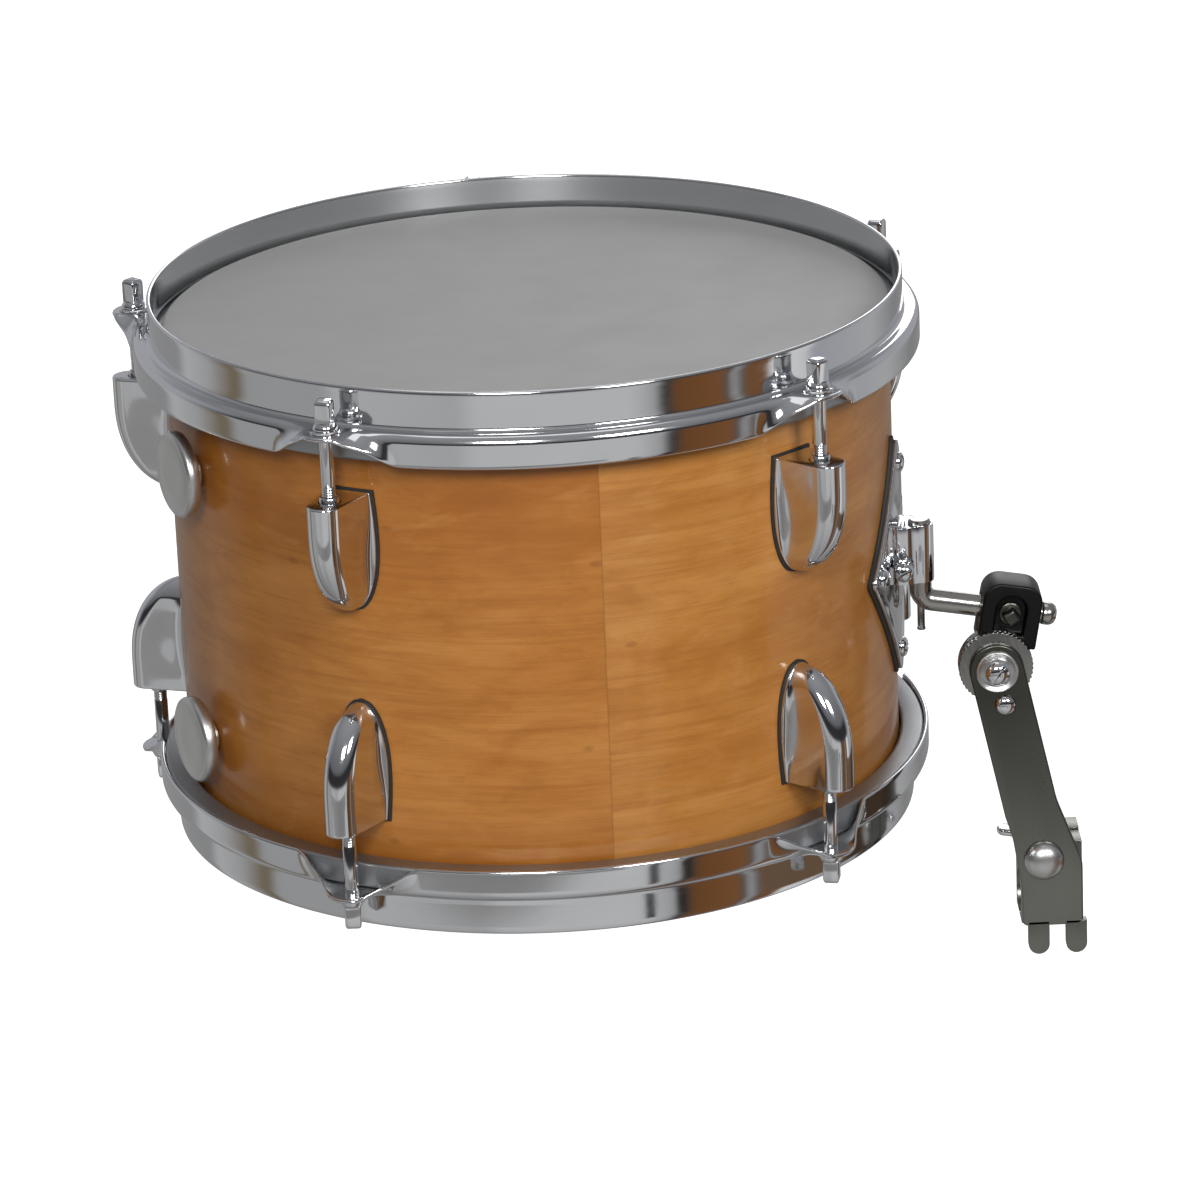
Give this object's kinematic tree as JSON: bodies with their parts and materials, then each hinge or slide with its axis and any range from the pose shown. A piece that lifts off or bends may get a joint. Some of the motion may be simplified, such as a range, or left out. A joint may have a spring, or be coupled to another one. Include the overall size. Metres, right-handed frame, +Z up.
{
  "type": "tom tom drum",
  "caption": "Rack tom drum: maple shell, two tensioned heads in chrome double-flanged hoops, internal mufflers, and a jointed arm that clamps to a rail.",
  "frame": {"origin": "middle of the holder's rail clamp, on the rail's axis", "axes": "+X along the rail, away from the drum; +Z up along the drum's axis, out of the batter head; the player sits on the -Y side"},
  "size_m": [0.4019, 0.3407, 0.2972],
  "materials": {
    "maple_lacquer": "clear gloss lacquer over amber maple veneer",
    "maple_raw": "bare maple",
    "drumhead": "coated polyester film",
    "flesh_hoop": "plain",
    "hoop_chrome": "polished",
    "chrome": "polished",
    "polished_alloy": "turned and polished",
    "zinc_steel": "zinc plated",
    "felt": "pressed wool felt",
    "black_gasket": "matt",
    "brass": "machined",
    "gunmetal": "dark satin plating"
  },
  "bodies": {
    "holder_arm": {"holder_arm": "gunmetal", "ratchet_disc": "chrome", "dished_washer": "chrome", "ratchet_bolt": "chrome", "ratchet_nut": "chrome", "arm_stop_pin": "chrome", "rail_jaw": "gunmetal", "rail_bolt": "chrome"},
    "knuckle": {"knuckle": "gunmetal"},
    "holder_rod": {"holder_rod": "chrome"},
    "drum": {"shell": "maple_lacquer", "reinforcement_rings": "maple_raw", "lug_gaskets": "black_gasket", "lug_swivel_nuts": "brass", "lug_screws": "zinc_steel", "tension_rod_washers": "chrome", "vent_grommet": "chrome", "bracket_gasket": "black_gasket", "bracket_plate": "chrome", "bracket_screws": "chrome", "bracket_clamp": "chrome", "batter_head_film": "drumhead", "batter_flesh_hoop": "flesh_hoop", "batter_hoop": "hoop_chrome", "batter_muffler_bracket": "zinc_steel", "batter_lug_1": "chrome", "batter_lug_2": "chrome", "batter_lug_3": "chrome", "batter_lug_4": "chrome", "batter_lug_5": "chrome", "resonant_head_film": "drumhead", "resonant_flesh_hoop": "flesh_hoop", "resonant_hoop": "hoop_chrome", "resonant_muffler_bracket": "zinc_steel", "resonant_lug_1": "chrome", "resonant_lug_2": "chrome", "resonant_lug_3": "chrome", "resonant_lug_4": "chrome", "resonant_lug_5": "chrome"},
    "batter_tension_rod_1": {"batter_tension_rod_1": "chrome"},
    "batter_tension_rod_2": {"batter_tension_rod_2": "chrome"},
    "batter_tension_rod_3": {"batter_tension_rod_3": "chrome"},
    "batter_tension_rod_4": {"batter_tension_rod_4": "chrome"},
    "batter_tension_rod_5": {"batter_tension_rod_5": "chrome"},
    "resonant_tension_rod_1": {"resonant_tension_rod_1": "chrome"},
    "resonant_tension_rod_2": {"resonant_tension_rod_2": "chrome"},
    "resonant_tension_rod_3": {"resonant_tension_rod_3": "chrome"},
    "resonant_tension_rod_4": {"resonant_tension_rod_4": "chrome"},
    "resonant_tension_rod_5": {"resonant_tension_rod_5": "chrome"},
    "batter_knob": {"batter_muffler_knob": "polished_alloy", "batter_muffler_spindle": "zinc_steel"},
    "batter_damper": {"batter_muffler_arm": "zinc_steel", "batter_muffler_felt_pad": "felt"},
    "resonant_knob": {"resonant_muffler_knob": "polished_alloy", "resonant_muffler_spindle": "zinc_steel"},
    "resonant_damper": {"resonant_muffler_arm": "zinc_steel", "resonant_muffler_felt_pad": "felt"},
    "clamp_key_bolt": {"clamp_key_bolt": "chrome"},
    "knuckle_key_bolt": {"knuckle_key_bolt": "chrome"},
    "rail_wing_nut": {"rail_wing_nut": "chrome"}
  },
  "joints": [
    {"name": "ratchet_tilt", "type": "hinge", "parent": "holder_arm", "child": "knuckle", "pos_m": [-0.02193, 0, 0.10669], "axis": [0, 1, 0], "range_deg": [-10, 45]},
    {"name": "rod_roll", "type": "hinge", "parent": "knuckle", "child": "holder_rod", "pos_m": [-0.01507, 0, 0.12832], "axis": [0.9848, 0, -0.1736], "range_deg": [-20, 30]},
    {"name": "drum_swivel", "type": "hinge", "parent": "holder_rod", "child": "drum", "pos_m": [-0.05219, 0, 0.159], "axis": [0, 0, 1], "range_deg": [-30, 30]},
    {"name": "batter_rod_turn_1", "type": "hinge", "parent": "drum", "child": "batter_tension_rod_1", "pos_m": [-0.06049, 0.10211, 0.259], "axis": [0, 0, 1], "continuous": true},
    {"name": "batter_rod_turn_2", "type": "hinge", "parent": "drum", "child": "batter_tension_rod_2", "pos_m": [-0.23356, 0.19726, 0.259], "axis": [0, 0, 1], "continuous": true},
    {"name": "batter_rod_turn_3", "type": "hinge", "parent": "drum", "child": "batter_tension_rod_3", "pos_m": [-0.37752, 0.06206, 0.259], "axis": [0, 0, 1], "continuous": true},
    {"name": "batter_rod_turn_4", "type": "hinge", "parent": "drum", "child": "batter_tension_rod_4", "pos_m": [-0.29344, -0.11664, 0.259], "axis": [0, 0, 1], "continuous": true},
    {"name": "batter_rod_turn_5", "type": "hinge", "parent": "drum", "child": "batter_tension_rod_5", "pos_m": [-0.0975, -0.09189, 0.259], "axis": [0, 0, 1], "continuous": true},
    {"name": "resonant_rod_turn_1", "type": "hinge", "parent": "drum", "child": "resonant_tension_rod_1", "pos_m": [-0.06049, 0.10211, 0.059], "axis": [0, 0, -1], "continuous": true},
    {"name": "resonant_rod_turn_2", "type": "hinge", "parent": "drum", "child": "resonant_tension_rod_2", "pos_m": [-0.23356, 0.19726, 0.059], "axis": [0, 0, -1], "continuous": true},
    {"name": "resonant_rod_turn_3", "type": "hinge", "parent": "drum", "child": "resonant_tension_rod_3", "pos_m": [-0.37752, 0.06206, 0.059], "axis": [0, 0, -1], "continuous": true},
    {"name": "resonant_rod_turn_4", "type": "hinge", "parent": "drum", "child": "resonant_tension_rod_4", "pos_m": [-0.29344, -0.11664, 0.059], "axis": [0, 0, -1], "continuous": true},
    {"name": "resonant_rod_turn_5", "type": "hinge", "parent": "drum", "child": "resonant_tension_rod_5", "pos_m": [-0.0975, -0.09189, 0.059], "axis": [0, 0, -1], "continuous": true},
    {"name": "batter_knob_turn", "type": "hinge", "parent": "drum", "child": "batter_knob", "pos_m": [-0.35365, -0.03584, 0.217], "axis": [-0.9048, -0.4258, 0], "range_deg": [0, 180]},
    {"name": "batter_pad_lift", "type": "hinge", "parent": "drum", "child": "batter_damper", "pos_m": [-0.33375, -0.02647, 0.203], "axis": [0.4258, -0.9048, 0], "range_deg": [0, 8]},
    {"name": "resonant_knob_turn", "type": "hinge", "parent": "drum", "child": "resonant_knob", "pos_m": [-0.35365, -0.03584, 0.101], "axis": [-0.9048, -0.4258, 0], "range_deg": [0, 180]},
    {"name": "resonant_pad_lift", "type": "hinge", "parent": "drum", "child": "resonant_damper", "pos_m": [-0.33375, -0.02647, 0.115], "axis": [-0.4258, 0.9048, 0], "range_deg": [0, 8]},
    {"name": "clamp_bolt_turn", "type": "hinge", "parent": "drum", "child": "clamp_key_bolt", "pos_m": [-0.05671, 0.00086, 0.153], "axis": [0.1874, 0.9823, 0], "continuous": true},
    {"name": "knuckle_bolt_turn", "type": "hinge", "parent": "knuckle", "child": "knuckle_key_bolt", "pos_m": [-0.01507, 0, 0.12832], "axis": [0, 1, 0], "continuous": true},
    {"name": "wing_nut_turn", "type": "hinge", "parent": "holder_arm", "child": "rail_wing_nut", "pos_m": [-0.0035, 0.017, 0.0202], "axis": [0, 1, 0], "continuous": true}
  ],
  "couplings": [
    {"joint": "batter_pad_lift", "follows": "batter_knob_turn", "ratio": 0.0444},
    {"joint": "resonant_pad_lift", "follows": "resonant_knob_turn", "ratio": 0.0444}
  ]
}
